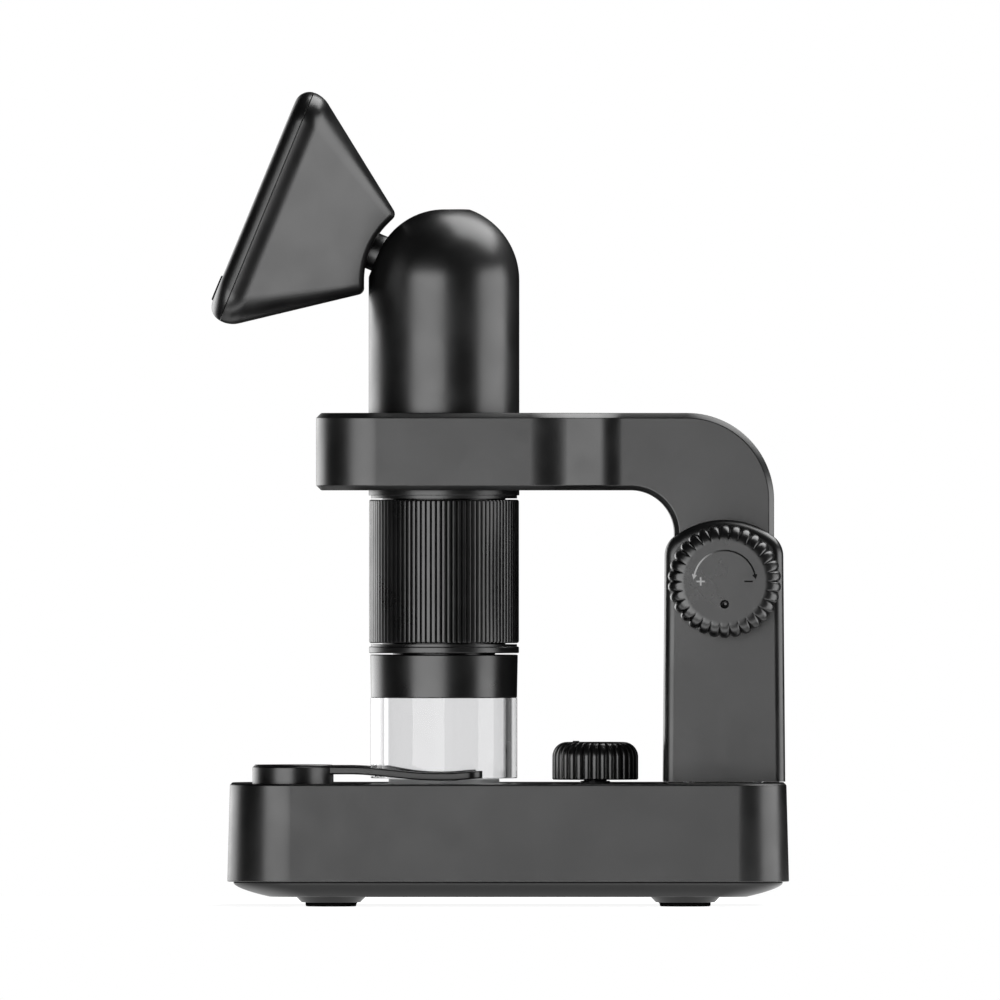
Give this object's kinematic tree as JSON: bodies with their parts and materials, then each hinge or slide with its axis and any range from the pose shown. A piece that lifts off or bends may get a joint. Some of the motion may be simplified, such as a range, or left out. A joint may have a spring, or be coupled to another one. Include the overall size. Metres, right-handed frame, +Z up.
{
  "type": "digital pocket microscope on a bench stand",
  "caption": "Handheld digital microscope with a tilting screen head, held in a bench stand with a rack focus arm, a dimmable lit base and stage clips.",
  "frame": {"origin": "on the bench, under the middle of the object's box", "axes": "+Z up along the tube, -X the way the screen looks, -Y the near side with the marked knob"},
  "size_m": [0.1498, 0.084, 0.2112],
  "materials": {
    "satin_black": "satin moulded plastic",
    "knob_black": "matt moulded plastic",
    "inner_black": "matt moulded plastic",
    "rubber": "soft rubber",
    "clear_plastic": "clear polished plastic",
    "frosted_glass": "ground glass",
    "screen_glass": "dark cover glass",
    "screen_panel": "display panel",
    "circuit_board": "green solder mask",
    "white_resin": "milky resin",
    "steel": "plated steel",
    "brass": "cut brass",
    "bronze": "sintered bronze",
    "felt": "black felt",
    "cell_wrap": "plain wrapped cell",
    "battery_foil": "foil pouch"
  },
  "bodies": {
    "base": {"base_shell": "satin_black", "base_bottom_cover": "satin_black", "rubber_foot_1": "rubber", "rubber_foot_2": "rubber", "rubber_foot_3": "rubber", "rubber_foot_4": "rubber", "base_screw_1": "steel", "base_screw_2": "steel", "base_screw_3": "steel", "base_screw_4": "steel", "battery_door": "satin_black", "battery_holder": "inner_black", "battery_cell_1": "cell_wrap", "battery_cell_2": "cell_wrap", "battery_cell_3": "cell_wrap", "stage_glass": "frosted_glass", "lamp_board": "circuit_board", "lamp_led": "white_resin", "dimmer_potentiometer": "inner_black", "stage_clip_near_post": "steel", "stage_clip_far_post": "steel", "column_shell": "satin_black", "column_screw_1": "steel", "column_screw_2": "steel", "shaft_bushing_near": "bronze", "shaft_bushing_far": "bronze"},
    "dimmer": {"dimmer_knob": "knob_black"},
    "clip_near": {"stage_clip_near": "satin_black"},
    "clip_far": {"stage_clip_far": "satin_black"},
    "focus_drive": {"pinion_shaft": "steel", "focus_pinion": "brass", "focus_knob_near": "knob_black", "focus_knob_far": "knob_black"},
    "arm": {"focus_arm": "satin_black", "focus_rack": "brass", "holder_liner": "felt"},
    "microscope": {"microscope_tube": "satin_black", "tilt_bracket": "steel", "tilt_pivot_pin": "steel", "handheld_battery": "battery_foil", "main_board": "circuit_board", "nose_barrel": "inner_black", "sensor_board": "circuit_board", "hood_collar": "knob_black", "led_ring": "circuit_board", "clear_hood": "clear_plastic"},
    "lens_ring": {"focus_ring": "knob_black"},
    "lens": {"lens_carrier": "inner_black", "objective_lens": "clear_plastic"},
    "screen_head": {"tilt_ball": "satin_black", "head_nut": "steel", "head_rear_shell": "satin_black", "head_bezel": "satin_black", "display_glass": "screen_glass", "display_panel": "screen_panel", "head_board": "circuit_board"},
    "button_1": {"screen_button_1": "rubber"},
    "button_2": {"screen_button_2": "rubber"},
    "button_3": {"screen_button_3": "rubber"}
  },
  "joints": [
    {"name": "arm_lift", "type": "slide", "parent": "base", "child": "arm", "axis": [0, 0, 1], "range_m": [0, 0.013]},
    {"name": "focus_knob_turn", "type": "hinge", "parent": "base", "child": "focus_drive", "pos_m": [0.0582, 0, 0.0842], "axis": [0, -1, 0], "range_deg": [0, 133.5]},
    {"name": "microscope_lift", "type": "slide", "parent": "arm", "child": "microscope", "axis": [0, 0, 1], "range_m": [0, 0.1]},
    {"name": "head_tilt", "type": "hinge", "parent": "microscope", "child": "screen_head", "pos_m": [-0.01456, 0, 0.1624], "axis": [0, 1, 0], "range_deg": [0, 67.5]},
    {"name": "button_1_press", "type": "slide", "parent": "screen_head", "child": "button_1", "axis": [0.9239, 0, -0.3827], "range_m": [0, 0.0006], "stiffness_N_per_m": 300, "springref_m": -0.001},
    {"name": "button_2_press", "type": "slide", "parent": "screen_head", "child": "button_2", "axis": [0.9239, 0, -0.3827], "range_m": [0, 0.0006], "stiffness_N_per_m": 300, "springref_m": -0.001},
    {"name": "button_3_press", "type": "slide", "parent": "screen_head", "child": "button_3", "axis": [0.9239, 0, -0.3827], "range_m": [0, 0.0006], "stiffness_N_per_m": 300, "springref_m": -0.001},
    {"name": "focus_ring_turn", "type": "hinge", "parent": "microscope", "child": "lens_ring", "pos_m": [-0.01456, 0, 0.0868], "axis": [0, 0, 1], "range_deg": [-150.1, 150.1]},
    {"name": "lens_focus", "type": "slide", "parent": "microscope", "child": "lens", "axis": [0, 0, 1], "range_m": [-0.0035, 0.0035]},
    {"name": "dimmer_turn", "type": "hinge", "parent": "base", "child": "dimmer", "pos_m": [0.02475, 0, 0.0375], "axis": [0, 0, -1], "range_deg": [0, 270]},
    {"name": "clip_near_swing", "type": "hinge", "parent": "base", "child": "clip_near", "pos_m": [-0.0538, -0.0265, 0.034], "axis": [0, 0, 1], "range_deg": [-90, 0]},
    {"name": "clip_far_swing", "type": "hinge", "parent": "base", "child": "clip_far", "pos_m": [-0.0538, 0.0265, 0.034], "axis": [0, 0, 1], "range_deg": [0, 90]}
  ],
  "couplings": [
    {"joint": "focus_knob_turn", "follows": "arm_lift", "rad_per_m": 178.57},
    {"joint": "focus_ring_turn", "follows": "lens_focus", "rad_per_m": 748}
  ]
}
